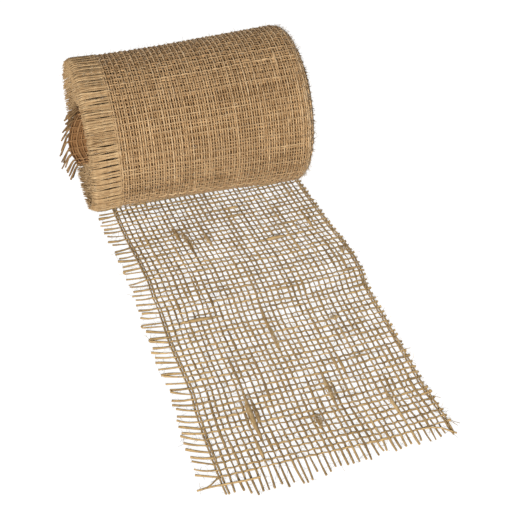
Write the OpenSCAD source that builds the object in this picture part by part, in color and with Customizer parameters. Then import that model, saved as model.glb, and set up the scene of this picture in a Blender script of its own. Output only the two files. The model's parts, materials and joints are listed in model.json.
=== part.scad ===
// Coreless roll of open-weave natural jute ribbon with its tail drawn out flat on the floor.
// X runs along the roll, the long weft fringe is at -X, the tail lies towards -Y and Z is up.
// The origin is on the floor, in the middle of the space that the roll and its tail take up.

/* [Ribbon] */
// Woven width between the outer edge warps
woven_w = 130; // [90:1:180]
// Length of the weft ends past the left edge of the tail
fringe_l = 12; // [6:0.5:20]
// Length of the weft stubs past the right edge
stub_l = 4.5; // [3:0.5:8]
// Width of one yarn
yarn_w = 1.8; // [1:0.1:2.2]
// Thickness of one yarn
yarn_t = 0.9; // [0.6:0.05:1.2]
// Play between two yarns where they cross
cross_play = 0.1; // [0.05:0.05:0.3]
// Flat that a yarn keeps past each side of the yarn that it crosses
cross_margin = 0.15; // [0.1:0.05:0.3]

/* [Roll] */
// Radius of the hollow that the inner turn leaves open
hollow_r = 17; // [12:0.5:25]
// Thickness of the wound ribbon
strip_t = 1.15; // [0.8:0.05:1.5]
// Air between two turns
turn_gap = 0.45; // [0.42:0.01:0.8]
// Number of turns wound over the inner turn
turn_count = 20; // [4:1:22]
// Length of the weft ends on the left end of the roll
roll_fringe_l = 17; // [8:0.5:25]
// Spacing of the modelled weft ends along the wound ribbon
roll_fringe_pitch = 14; // [12:0.5:24]
// Spacing of the modelled weft stubs along the wound ribbon
roll_stub_pitch = 30; // [24:1:60]
// Width of the ribbon's edge that carries the weft ends
edge_w = 3; // [2:0.5:6]
// Clearance between the roll and the tail that it rests on
roll_play = 0.3; // [0.2:0.05:0.6]

/* [Inner turn] */
// Arc of the inner turn at the hollow's own radius
inner_arc = 328; // [290:1:340]
// Arc left free between the roll's lowest line and the inner turn's end
inner_stop = 6; // [3:1:20]
// How far the inner turn's edge stands out past the roll's weft ends
inner_slip = 3; // [1:0.5:10]
// Length of the inner turn's weft ends
inner_fringe_l = 10; // [5:0.5:16]
// Number of the inner turn's weft ends
inner_fringe_count = 26; // [12:1:36]
// Steepest droop of the inner turn's weft ends
inner_droop = 38; // [0:1:50]

/* [Tail] */
// Number of wefts in each of the three tail panels
panel_wefts = 7; // [4:1:9]
// Distance between two wefts
weft_pitch = 13.3; // [8:0.1:18]
// Number of warps between the two edges
ground_count = 11; // [6:1:16]
// Number of close warps in the left edge
selvedge_count = 3; // [2:1:4]
// Distance between the close warps
selvedge_pitch = 3.6; // [3:0.1:4.5]
// How far the first weft lies behind the line where the roll rests
tail_start = 5; // [3:0.5:8]
// Length of the warp ends past the last weft
warp_end_l = 15; // [6:0.5:24]
// Gap between two panels at a fold
fold_gap = 0.4; // [0.3:0.05:0.8]

/* [Hidden] */
$fn = 96;

warp_colour = "#a8845a";
weft_colour = "#c6a678";
roll_colour = "#ad875a";
inner_colour = "#8a6238";
fringe_colour = "#cfae7e";

left_x = -woven_w / 2;
right_x = woven_w / 2;
strand_sides = 4;

// The winding is a spiral of half rings: front halves about the axis, back halves a half step lower.
turn_pitch = strip_t + turn_gap;
half_step = turn_pitch / 2;
first_r = hollow_r + turn_pitch;
half_count = 2 * turn_count;
function half_r(k) = first_r + k * half_step;
function half_is_front(k) = k % 2 == 0;
function half_drop(k) = half_is_front(k) ? 0 : -half_step;
roll_r = half_r(half_count - 1) + half_step + strip_t;

// Heights in the tail, from the floor up.
weave_lift = (yarn_t + cross_play) / 2;
weave_mid = weave_lift + yarn_t / 2;
tail_t = 2 * weave_mid;
axis_z = tail_t + roll_play + roll_r;

// The inner turn is slipped sideways, so that its left edge clears the weft ends of the roll.
inner_left_x = left_x - roll_fringe_l - inner_slip;
inner_right_x = inner_left_x + woven_w;
// The winding's right end, with the weft stubs, reaches back past the inner turn's right edge.
right_end_x = inner_right_x - edge_w;
inner_last_angle = 270 - inner_stop;
inner_first_angle = inner_last_angle - inner_arc;

// Places of the yarns in the tail.
ground_first_x = left_x + (selvedge_count - 1) * selvedge_pitch;
ground_pitch = (right_x - ground_first_x) / (ground_count + 1);
warp_count = selvedge_count + ground_count + 1;
weft_count = 3 * panel_wefts;
cross_flat = yarn_w + 2 * cross_margin;
function warp_x(j) = j < selvedge_count
    ? left_x + j * selvedge_pitch
    : ground_first_x + (j - selvedge_count + 1) * ground_pitch;
function weft_y(i) = tail_start - i * weft_pitch;
function warp_is_over(i, j) = (i + j) % 2 == 0;

// The tail folds between two wefts, about lines at the height of its upper side.
function fold_y(p) = weft_y(p * panel_wefts - 0.5);
fold_z = tail_t;

// A length that varies from one yarn end to the next, by a share at most and never above the given one.
function uneven(length, n, share) = length * (1 - share / 2 + share / 2 * sin(137.5 * n));
end_share = 0.2;
winding_share = 0.16;
function weft_left_end(i) = left_x - uneven(fringe_l, 3 * i, end_share);
function weft_right_end(i) = right_x + uneven(stub_l, 5 * i, end_share);
function warp_end(j) = weft_y(weft_count - 1) - uneven(warp_end_l, j, end_share);
function inner_end_l(n) = uneven(inner_fringe_l, n, end_share);
function inner_end_angle(n) = inner_last_angle - inner_arc * (n + 0.5) / inner_fringe_count;
function inner_end_droop(n) = inner_droop * max(0, -sin(inner_end_angle(n)));

// The loose weft's bend and tip, off the left corner of the cut end.
loose_start = [left_x - yarn_w / 2 - cross_play, weft_y(weft_count - 1) - yarn_w];
loose_bend = loose_start + [-fringe_l / 2, -warp_end_l / 3];
loose_tip = loose_bend + [-fringe_l, -warp_end_l / 6];

// The space that the whole part takes up along X and Y, and its middle.
least_x = min(inner_left_x - inner_fringe_l, left_x - fringe_l, loose_tip[0]);
most_x = right_x + stub_l;
least_y = min(weft_y(weft_count - 1) - warp_end_l, loose_tip[1] - yarn_w / 2);
most_y = half_r(half_count - 1) + strip_t;
mid_x = (least_x + most_x) / 2;
mid_y = (least_y + most_y) / 2;

// The winding's least gap to itself, measured on points of neighbouring turns.
function half_point(k, a, out) =
    let (r = half_r(k) + (out ? strip_t : 0), side = half_is_front(k) ? -1 : 1)
    [side * r * cos(a), half_drop(k) + r * sin(a)];
gap_steps = [-90:15:90];
least_gap = min([
    for (k = [0:half_count - 3], a = gap_steps, b = gap_steps)
        norm(half_point(k, a, true) - half_point(k + 2, b, false))
]);
inner_least_gap = min([
    for (a = gap_steps, b = gap_steps)
        norm((hollow_r + strip_t) * [-cos(a), sin(a)] - half_point(0, b, false))
]);
wound_length = sum_of([for (k = [0:half_count - 1]) PI * (half_r(k) + strip_t / 2)]);
function sum_of(list, n = 0) = n < len(list) ? list[n] + sum_of(list, n + 1) : 0;
echo(loops = turn_count + 1, least_gap = min(least_gap, inner_least_gap));
echo(wound_length = wound_length, roll_diameter = 2 * roll_r, axis_height = axis_z);
echo(axis_y = -mid_y, middle_x = -mid_x, fold_height = fold_z);
echo(fold_one_y = fold_y(1) - mid_y, fold_two_y = fold_y(2) - mid_y);

// Moves a piece from the roll's own place to the part's origin.
module placed() {
    translate([-mid_x, -mid_y, 0])
        children();
}

// Turns a revolved shape's own axis onto the roll's axis, with its start at the left place x.
module on_axis(x, drop = 0) {
    translate([x, 0, axis_z + drop])
        rotate([90, 0, 90])
            children();
}

// A stretch of ribbon bent to an arc, from one angle on for a sweep, both counted from +Y towards +Z.
module bent_strip(r, w, from, sweep) {
    rotate([0, 0, from])
        rotate_extrude(angle = sweep)
            translate([r, 0])
                square([strip_t, w]);
}

// The whole winding between two places along the roll.
module winding(x0, x1) {
    for (k = [0:half_count - 1])
        on_axis(x0, half_drop(k))
            bent_strip(half_r(k), x1 - x0, half_is_front(k) ? 90 : -90, 180);
}

// One yarn end of four flat sides that leaves its root at (y, z) towards -X, or towards +X.
module yarn_end(x, y, z, length, towards_left, droop = 0) {
    translate([x, y, z])
        rotate([0, towards_left ? -90 - droop : 90, 0])
            rotate([0, 0, 45])
                cylinder(d = yarn_t, h = length, $fn = strand_sides);
}

// A row of yarn ends along the whole winding, each rooted inside the edge at x.
module winding_ends(x, pitch, length, towards_left) {
    root = edge_w / 2;
    x_root = x + (towards_left ? root : -root);
    for (k = [0:half_count - 1]) {
        r = half_r(k) + strip_t / 2;
        ends = floor(PI * r / pitch);
        side = half_is_front(k) ? -1 : 1;
        for (n = [0:ends - 1]) {
            a = -90 + 180 * (n + 0.5) / ends;
            l = root + uneven(length, 7 * k + n, winding_share);
            yarn_end(x_root, side * r * cos(a), axis_z + half_drop(k) + r * sin(a), l, towards_left);
        }
    }
}

// The ribbon's inner end climbs from the inner turn to the first wound turn.
module climb(x0, x1) {
    a0 = inner_first_angle;
    on_axis(x0)
        linear_extrude(height = x1 - x0)
            polygon([
                hollow_r * [cos(a0), sin(a0)],
                (hollow_r + strip_t) * [cos(a0), sin(a0)],
                [0, -first_r - strip_t],
                [0, -first_r]
            ]);
}

module wound_turns() {
    color(roll_colour) {
        winding(left_x + edge_w, right_end_x);
        climb(left_x + edge_w, right_end_x);
    }
}

module wound_left_fringe() {
    color(fringe_colour) {
        winding(left_x, left_x + edge_w);
        winding_ends(left_x, roll_fringe_pitch, roll_fringe_l, true);
    }
}

module wound_right_stubs() {
    color(fringe_colour) {
        winding(right_end_x, right_x);
        winding_ends(right_x, roll_stub_pitch, stub_l, false);
    }
}

module inner_turn() {
    color(inner_colour)
        on_axis(inner_left_x + edge_w)
            bent_strip(hollow_r, woven_w - edge_w, inner_first_angle, inner_arc);
}

module inner_turn_fringe() {
    r = hollow_r + strip_t / 2;
    root = edge_w / 2;
    color(fringe_colour) {
        on_axis(inner_left_x)
            bent_strip(hollow_r, edge_w, inner_first_angle, inner_arc);
        for (n = [0:inner_fringe_count - 1]) {
            y = r * cos(inner_end_angle(n));
            z = axis_z + r * sin(inner_end_angle(n));
            yarn_end(inner_left_x + root, y, z, root + yarn_t, true);
            yarn_end(inner_left_x, y, z, inner_end_l(n), true, inner_end_droop(n));
        }
    }
}

// Closes a yarn's centre line, given as (along, height) points, to a band of the yarn's thickness.
function band(line) = concat(
    [for (p = line) [p[0], p[1] + yarn_t / 2]],
    [for (n = [len(line) - 1:-1:0]) [line[n][0], line[n][1] - yarn_t / 2]]
);

// Where each tail panel starts and ends along Y, half a fold gap short of its fold.
function panel_back(p) = p == 0
    ? tail_start + yarn_w
    : fold_y(p) - fold_gap / 2;
function panel_front(p, j) = p == 2
    ? warp_end(j)
    : fold_y(p + 1) + fold_gap / 2;

// One warp of one panel, passing over and under the wefts in turn.
module warp(p, j) {
    first = p * panel_wefts;
    crossings = [
        for (i = [first:first + panel_wefts - 1], s = [1, -1])
            [weft_y(i) + s * cross_flat / 2, weave_mid + (warp_is_over(i, j) ? weave_lift : -weave_lift)]
    ];
    end_z = p == 2 ? yarn_t / 2 : weave_mid;
    start_z = p == 0 ? crossings[0][1] : weave_mid;
    line = concat([[panel_back(p), start_z]], crossings, [[panel_front(p, j), end_z]]);
    translate([warp_x(j) - yarn_w / 2, 0, 0])
        rotate([90, 0, 90])
            linear_extrude(height = yarn_w)
                polygon(band(line));
}

// One weft, passing under and over the warps in turn, with its fringe at the left and stub at the right.
module weft(i) {
    crossings = [
        for (j = [0:warp_count - 1], s = [-1, 1])
            [warp_x(j) + s * cross_flat / 2, weave_mid + (warp_is_over(i, j) ? -weave_lift : weave_lift)]
    ];
    line = concat([[weft_left_end(i), yarn_t / 2]], crossings, [[weft_right_end(i), yarn_t / 2]]);
    translate([0, weft_y(i) + yarn_w / 2, 0])
        rotate([90, 0, 0])
            linear_extrude(height = yarn_w)
                polygon(band(line));
}

module left_selvedge(p) {
    color(warp_colour)
        for (j = [0:selvedge_count - 1])
            warp(p, j);
}

module ground_warps(p) {
    color(warp_colour)
        for (j = [selvedge_count:warp_count - 2])
            warp(p, j);
}

module right_edge_warp(p) {
    color(warp_colour)
        warp(p, warp_count - 1);
}

module wefts(p) {
    color(weft_colour)
        for (i = [p * panel_wefts:(p + 1) * panel_wefts - 1])
            weft(i);
}

// A weft that has come out of the cut end, lying on the floor off the left corner.
module end_loose_weft() {
    across = [0, yarn_w / 2];
    color(weft_colour)
        linear_extrude(height = yarn_t)
            polygon([
                loose_start, loose_bend + across, loose_tip + across,
                loose_tip - across, loose_bend - across, loose_start - 2 * across
            ]);
}

placed() wound_turns();
placed() wound_left_fringe();
placed() wound_right_stubs();
placed() inner_turn();
placed() inner_turn_fringe();
placed() left_selvedge(0);  // base_left_selvedge
placed() ground_warps(0);  // base_ground_warps
placed() right_edge_warp(0);  // base_right_edge_warp
placed() wefts(0);  // base_wefts
placed() left_selvedge(1);  // middle_left_selvedge
placed() ground_warps(1);  // middle_ground_warps
placed() right_edge_warp(1);  // middle_right_edge_warp
placed() wefts(1);  // middle_wefts
placed() left_selvedge(2);  // end_left_selvedge
placed() ground_warps(2);  // end_ground_warps
placed() right_edge_warp(2);  // end_right_edge_warp
placed() wefts(2);  // end_wefts
placed() end_loose_weft();
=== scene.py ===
"""Coreless roll of open-weave jute ribbon, with its tail drawn out flat on a white floor.

Every yarn of the tail, of the roll's outer turns and of its inner turn is laid as a line in the ribbon's
own places (across, along, height) and carried onto the floor, the winding or the hollow. A Geometry Nodes
tree sweeps the yarns along those lines, and a second one scatters loose fibres over them.
"""

import json
import logging
import math
from collections.abc import Callable
from dataclasses import dataclass, field
from enum import Enum

import bpy
import numpy as np
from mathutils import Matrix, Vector

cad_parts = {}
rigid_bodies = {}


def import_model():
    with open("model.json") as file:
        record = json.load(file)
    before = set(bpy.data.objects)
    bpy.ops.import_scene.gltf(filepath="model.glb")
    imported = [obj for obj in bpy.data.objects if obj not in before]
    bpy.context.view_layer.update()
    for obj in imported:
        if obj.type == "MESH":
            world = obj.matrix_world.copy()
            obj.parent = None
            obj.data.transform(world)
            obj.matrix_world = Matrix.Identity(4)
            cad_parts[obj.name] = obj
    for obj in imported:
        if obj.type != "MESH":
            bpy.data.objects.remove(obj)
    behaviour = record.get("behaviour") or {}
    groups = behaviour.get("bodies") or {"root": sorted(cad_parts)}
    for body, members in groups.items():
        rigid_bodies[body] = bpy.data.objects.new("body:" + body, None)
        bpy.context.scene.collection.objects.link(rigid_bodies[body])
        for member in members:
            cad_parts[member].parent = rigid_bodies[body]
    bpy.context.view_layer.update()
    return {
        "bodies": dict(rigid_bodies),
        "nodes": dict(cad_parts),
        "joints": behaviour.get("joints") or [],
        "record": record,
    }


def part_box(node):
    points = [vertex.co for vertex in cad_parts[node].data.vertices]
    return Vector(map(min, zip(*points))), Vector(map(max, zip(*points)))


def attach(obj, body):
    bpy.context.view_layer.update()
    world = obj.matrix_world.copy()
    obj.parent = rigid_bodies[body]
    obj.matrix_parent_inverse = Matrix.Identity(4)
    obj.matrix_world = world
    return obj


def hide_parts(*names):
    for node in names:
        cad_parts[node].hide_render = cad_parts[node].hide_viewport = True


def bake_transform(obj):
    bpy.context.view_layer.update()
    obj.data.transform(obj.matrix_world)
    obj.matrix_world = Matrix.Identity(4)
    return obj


LOG = logging.getLogger("jute_roll")
MM = 0.001
FULL_TURN = 2 * math.pi
BAKE_MAP = "OFBake"
Colour = tuple[float, float, float]
Point = tuple[float, float, float]


class Side(Enum):
    """The two edges of the ribbon, by the sign of their place across it."""

    LEFT = -1
    RIGHT = 1


class Mark(Enum):
    """Point attributes that a yarn carries from its line to its mesh and its material."""

    GIRTH = "girth"
    TONE = "tone"
    STRIP = "strip"
    IS_WEFT = "is_weft"
    ALONG = "along"
    AROUND = "around"


def wander(rng: np.random.Generator, count: int, spacing: float, spread: float) -> np.ndarray:
    """Draws slowly changing random values.

    Args:
        rng: The seeded source of random numbers.
        count: How many values are needed.
        spacing: How many values lie between two draws.
        spread: The standard deviation of the draws.

    Returns:
        The values, joined smoothly between the draws.
    """
    draws = rng.normal(0, spread, int(count / spacing) + 4)
    place = np.arange(count) / spacing + rng.uniform(0, 1)
    low = place.astype(int)
    part = place - low
    part = part * part * (3 - 2 * part)
    return draws[low] * (1 - part) + draws[low + 1] * part


def hump(place: np.ndarray, middle: float, half: float) -> np.ndarray:
    """A smooth bump of height 1 at the middle place, which falls off over the half width."""
    return np.exp(-(((place - middle) / half) ** 2))


@dataclass
class Yarn:
    """One yarn's line, with its radius and tone at each point."""

    points: np.ndarray
    girth: np.ndarray
    tone: np.ndarray
    is_weft: bool = False


@dataclass
class Spinner:
    """Gives each yarn the uneven thickness and tone of spun jute."""

    rng: np.random.Generator
    radius: float
    tone: float
    tone_spread: float = 0.07
    unevenness: float = 0.12
    slub_spacing: float = 90 * MM
    slub_swell: float = 0.45
    # Limits between which one slub draws its share of the swell, and its half length in millimetres
    slub_share: tuple[float, float] = (0.4, 1.3)
    slub_half_mm: tuple[float, float] = (3, 9)
    slub_glow: float = 0.12
    girth_limits: tuple[float, float] = (0.6, 1.5)
    # How many points lie between two draws of thickness and of tone
    girth_spacing: float = 5
    tone_spacing: float = 9
    tone_wander: float = 0.06

    def spin(
        self,
        points: np.ndarray,
        is_weft: bool = False,
        swell: np.ndarray | None = None,
        glow: float = 0.0,
    ) -> Yarn:
        """Makes a yarn along a line.

        Args:
            points: The line's points, in metres.
            is_weft: Whether the yarn runs across the ribbon.
            swell: Extra thickness at each point, as a share of the radius.
            glow: Extra tone of the whole yarn.

        Returns:
            The yarn, with slubs at random places.
        """
        rng = self.rng
        steps = np.linalg.norm(np.diff(points, axis=0), axis=1)
        along = np.concatenate([[0], np.cumsum(steps)])
        count = len(points)
        extra = np.zeros(count) if swell is None else swell
        for _ in range(rng.poisson(along[-1] / self.slub_spacing)):
            extra = extra + self.slub_swell * rng.uniform(*self.slub_share) * hump(
                along, rng.uniform(0, along[-1]), rng.uniform(*self.slub_half_mm) * MM
            )
        uneven = 1 + wander(rng, count, self.girth_spacing, self.unevenness)
        girth = self.radius * np.clip(uneven, *self.girth_limits) * (1 + extra)
        tone = self.tone + glow + rng.normal(0, self.tone_spread)
        tone = tone + wander(rng, count, self.tone_spacing, self.tone_wander) + self.slub_glow * extra
        return Yarn(points, girth, np.clip(tone, 0, 1), is_weft)


@dataclass(frozen=True)
class Ribbon:
    """The ribbon's own make-up, which is the same along its whole length."""

    width: float = 130 * MM
    weft_pitch: float = 4.5 * MM
    left_edge_pitch: float = 1.6 * MM
    right_edge_pitch: float = 1.5 * MM
    left_edge_warps: int = 2
    ground_warps: int = 36
    right_edge_warps: int = 2
    yarn_radius: float = 0.5 * MM
    crimp: float = 0.4 * MM

    @property
    def left(self) -> float:
        """Place of the left edge across the ribbon."""
        return -self.width / 2

    @property
    def right(self) -> float:
        """Place of the right edge across the ribbon."""
        return self.width / 2

    @property
    def warp_pitch(self) -> float:
        """Distance between two ground warps."""
        return float(np.diff(self.warp_places())[self.left_edge_warps])

    @property
    def half_thickness(self) -> float:
        """From the ribbon's middle surface to the top of a yarn that passes over."""
        return self.crimp + self.yarn_radius

    def warp_places(self) -> np.ndarray:
        """Places of all warps across the ribbon, close together at the edges."""
        left = self.left + self.left_edge_pitch * np.arange(self.left_edge_warps)
        right = self.right - self.right_edge_pitch * np.arange(self.right_edge_warps)[::-1]
        ground = np.linspace(left[-1], right[0], self.ground_warps + 2)[1:-1]
        return np.concatenate([left, ground, right])


Placing = Callable[[np.ndarray, np.ndarray, np.ndarray], np.ndarray]


@dataclass
class Weave:
    """A stretch of plain weave, worked out in the ribbon's own places and carried onto a surface."""

    ribbon: Ribbon
    rows: np.ndarray
    place: Placing
    rng: np.random.Generator
    warp_offset: float = 0.18 * MM
    warp_wander: float = 0.25 * MM
    weft_wander: float = 0.32 * MM
    # How many crossings lie between two bends of a warp and of a weft
    warp_bend: float = 7
    weft_bend: float = 9
    across: np.ndarray = field(init=False)
    along: np.ndarray = field(init=False)
    rise: np.ndarray = field(init=False)

    def __post_init__(self) -> None:
        """Works out where each weft crosses each warp, and which of the two is on top."""
        warps = self.ribbon.warp_places()
        rows, columns = len(self.rows), len(warps)
        shape = (rows, columns)
        self.across = np.broadcast_to(warps, shape).copy()
        self.along = np.broadcast_to(self.rows[:, None], shape).copy()
        for j in range(columns):
            self.across[:, j] += self.rng.normal(0, self.warp_offset) + wander(
                self.rng, rows, self.warp_bend, self.warp_wander
            )
        for i in range(rows):
            self.along[i] += self.rng.normal(0, self.weft_wander / 2) + wander(
                self.rng, columns, self.weft_bend, self.weft_wander
            )
        over = (np.add.outer(np.arange(rows), np.arange(columns)) % 2) * 2 - 1
        self.rise = over * self.ribbon.crimp

    @staticmethod
    def _with_middles(line: np.ndarray) -> np.ndarray:
        """Adds a point halfway between each two points of a line."""
        middles = (line[1:] + line[:-1]) / 2
        filled = np.empty((len(line) + len(middles), 3))
        filled[0::2] = line
        filled[1::2] = middles
        return filled

    def warp_line(self, j: int) -> np.ndarray:
        """Warp j from the first row to the last, as (across, along, height)."""
        line = np.column_stack([self.across[:, j], self.along[:, j], self.rise[:, j]])
        return self._with_middles(line)

    def weft_line(self, i: int) -> np.ndarray:
        """Weft i from the left edge to the right, as (across, along, height)."""
        line = np.column_stack([self.across[i], self.along[i], -self.rise[i]])
        return self._with_middles(line)

    def placed(self, line: np.ndarray) -> np.ndarray:
        """Carries a line from the ribbon's own places onto the surface."""
        return self.place(line[:, 0], line[:, 1], line[:, 2])


@dataclass(frozen=True)
class JuteFinish:
    """How one set of jute yarns is coloured, from its darkest fibres to its palest."""

    name: str
    dark: Colour
    brown: Colour
    tan: Colour
    straw: Colour
    woven: bpy.types.NodeTree | None = None
    wefts: int = 1
    brown_at: float = 0.33
    tan_at: float = 0.66
    bump: float = 0.35
    bump_depth: float = 0.2 * MM
    sheen: float = 0.03
    sheen_roughness: float = 0.6
    specular: float = 0.03
    twist_pitch: float = 5 * MM

    def material(self, fibre: bpy.types.NodeTree) -> bpy.types.Material:
        """Builds the finish as a material.

        Args:
            fibre: The shared node group that gives the fibre mask and height.

        Returns:
            The material.
        """
        made = bpy.data.materials.new(self.name)
        made.use_nodes = True
        nodes, links = made.node_tree.nodes, made.node_tree.links
        shader = nodes["Principled BSDF"]
        group = nodes.new("ShaderNodeGroup")
        group.node_tree = fibre
        group.inputs["Twist Pitch"].default_value = self.twist_pitch
        coords = nodes.new("ShaderNodeTexCoord")
        links.new(coords.outputs["Object"], group.inputs["Place"])
        if self.woven:
            weave = nodes.new("ShaderNodeGroup")
            weave.node_tree = self.woven
            weave.inputs["Wefts"].default_value = self.wefts
            flat = nodes.new("ShaderNodeUVMap")
            flat.uv_map = BAKE_MAP
            links.new(flat.outputs["UV"], weave.inputs["Map"])
            links.new(weave.outputs["Tone"], group.inputs["Tone"])
        else:
            for mark, socket in ((Mark.TONE, "Tone"), (Mark.ALONG, "Along"), (Mark.AROUND, "Around")):
                read = nodes.new("ShaderNodeAttribute")
                read.attribute_name = mark.value
                links.new(read.outputs["Fac"], group.inputs[socket])
        ramp = nodes.new("ShaderNodeValToRGB")
        stops = ramp.color_ramp.elements
        stops[0].position, stops[0].color = 0.0, (*self.dark, 1)
        stops[1].position, stops[1].color = 1.0, (*self.straw, 1)
        for position, colour in ((self.brown_at, self.brown), (self.tan_at, self.tan)):
            stops.new(position).color = (*colour, 1)
        links.new(group.outputs["Mask"], ramp.inputs["Fac"])
        links.new(ramp.outputs["Color"], shader.inputs["Base Color"])
        links.new(group.outputs["Roughness"], shader.inputs["Roughness"])
        bump = nodes.new("ShaderNodeBump")
        bump.inputs["Strength"].default_value = self.bump
        bump.inputs["Distance"].default_value = self.bump_depth
        links.new(group.outputs["Height"], bump.inputs["Height"])
        links.new(bump.outputs["Normal"], shader.inputs["Normal"])
        shader.inputs["Sheen Weight"].default_value = self.sheen
        shader.inputs["Sheen Roughness"].default_value = self.sheen_roughness
        shader.inputs["Specular IOR Level"].default_value = self.specular
        return made


class Maths:
    """Adds Math nodes to a shader node group."""

    def __init__(self, tree: bpy.types.NodeTree) -> None:
        """Keeps the tree that the nodes go into."""
        self.tree = tree

    def __call__(self, operation: str, *values: object) -> bpy.types.NodeSocket:
        """One Math node, fed by sockets or plain values."""
        node = self.tree.nodes.new("ShaderNodeMath")
        node.operation = operation
        for socket, value in zip(node.inputs, values):
            if isinstance(value, bpy.types.NodeSocket):
                self.tree.links.new(value, socket)
            else:
                socket.default_value = value
        return node.outputs[0]


def woven_group() -> bpy.types.NodeTree:
    """Builds the shader group that draws an open weave on a flat map.

    Returns:
        The group, with the tone of yarns and gaps at each place of the map; the gaps are dark with painted
        shade of the layers beneath.
    """
    tree = bpy.data.node_groups.new("open_weave", "ShaderNodeTree")
    # The gaps' low tone is painted shade of the layers beneath them
    painted_gap_shade, yarn_glow = 0.08, 0.5
    face = tree.interface
    face.new_socket("Map", in_out="INPUT", socket_type="NodeSocketVector")
    for name, value in (("Warps", 38), ("Wefts", 1)):
        face.new_socket(name, in_out="INPUT", socket_type="NodeSocketFloat").default_value = value
    face.new_socket("Tone", in_out="OUTPUT", socket_type="NodeSocketFloat")
    maths = Maths(tree)
    given = tree.nodes.new("NodeGroupInput")
    result = tree.nodes.new("NodeGroupOutput")
    apart = tree.nodes.new("ShaderNodeSeparateXYZ")
    tree.links.new(given.outputs["Map"], apart.inputs["Vector"])
    bands = []
    for axis, count in (("X", "Warps"), ("Y", "Wefts")):
        place = maths("MULTIPLY", apart.outputs[axis], given.outputs[count])
        band = maths("SINE", maths("MULTIPLY", place, FULL_TURN))
        bands.append(maths("MULTIPLY_ADD", band, 0.5, 0.5))
    yarn = maths("MAXIMUM", *bands)
    tree.links.new(maths("MULTIPLY_ADD", yarn, yarn_glow, painted_gap_shade), result.inputs["Tone"])
    return tree


@dataclass(frozen=True)
class FibreLook:
    """How strongly each effect shows on spun jute."""

    mottle_scale: float = 240
    mottle_detail: float = 3
    mottle_share: float = 0.5
    streaks_around: float = 6
    streaks_along: float = 160
    streak_detail: float = 4
    streak_share: float = 0.45
    twist_share: float = 0.05
    twist_height: float = 0.5
    least_roughness: float = 0.72
    roughness_spread: float = 0.2


def fibre_group(look: FibreLook) -> bpy.types.NodeTree:
    """Builds the shader group that all jute finishes share.

    Args:
        look: How strongly its effects show.

    Returns:
        The group, with a mask from dark to pale, a roughness and a height for the bump.
    """
    tree = bpy.data.node_groups.new("jute_fibre", "ShaderNodeTree")
    face = tree.interface
    face.new_socket("Place", in_out="INPUT", socket_type="NodeSocketVector")
    for name, value in (("Tone", 0.5), ("Along", 0.0), ("Around", 0.0), ("Twist Pitch", 0.005)):
        face.new_socket(name, in_out="INPUT", socket_type="NodeSocketFloat").default_value = value
    for name in ("Mask", "Roughness", "Height"):
        face.new_socket(name, in_out="OUTPUT", socket_type="NodeSocketFloat")
    nodes, links = tree.nodes, tree.links
    maths = Maths(tree)
    given = nodes.new("NodeGroupInput")
    result = nodes.new("NodeGroupOutput")

    mottle = nodes.new("ShaderNodeTexNoise")
    mottle.inputs["Scale"].default_value = look.mottle_scale
    mottle.inputs["Detail"].default_value = look.mottle_detail
    links.new(given.outputs["Place"], mottle.inputs["Vector"])
    turn = maths("DIVIDE", given.outputs["Along"], given.outputs["Twist Pitch"])
    spiral = maths("ADD", turn, given.outputs["Around"])
    ply = maths("SINE", maths("MULTIPLY", spiral, FULL_TURN))
    streak_place = nodes.new("ShaderNodeCombineXYZ")
    links.new(maths("MULTIPLY", spiral, look.streaks_around), streak_place.inputs["X"])
    run = maths("MULTIPLY", given.outputs["Along"], look.streaks_along)
    links.new(run, streak_place.inputs["Y"])
    streak = nodes.new("ShaderNodeTexNoise")
    streak.inputs["Scale"].default_value = 1
    streak.inputs["Detail"].default_value = look.streak_detail
    links.new(streak_place.outputs["Vector"], streak.inputs["Vector"])
    blotch = maths("MULTIPLY_ADD", mottle.outputs["Fac"], look.mottle_share, -look.mottle_share / 2)
    fibres = maths("MULTIPLY_ADD", streak.outputs["Fac"], look.streak_share, -look.streak_share / 2)
    uneven = maths("ADD", blotch, fibres)
    twisted = maths("MULTIPLY_ADD", ply, look.twist_share, uneven)
    links.new(maths("ADD", twisted, given.outputs["Tone"]), result.inputs["Mask"])
    rough = maths("MULTIPLY_ADD", streak.outputs["Fac"], look.roughness_spread, look.least_roughness)
    links.new(rough, result.inputs["Roughness"])
    height = maths("MULTIPLY_ADD", ply, look.twist_height, streak.outputs["Fac"])
    links.new(height, result.inputs["Height"])
    return tree


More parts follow.
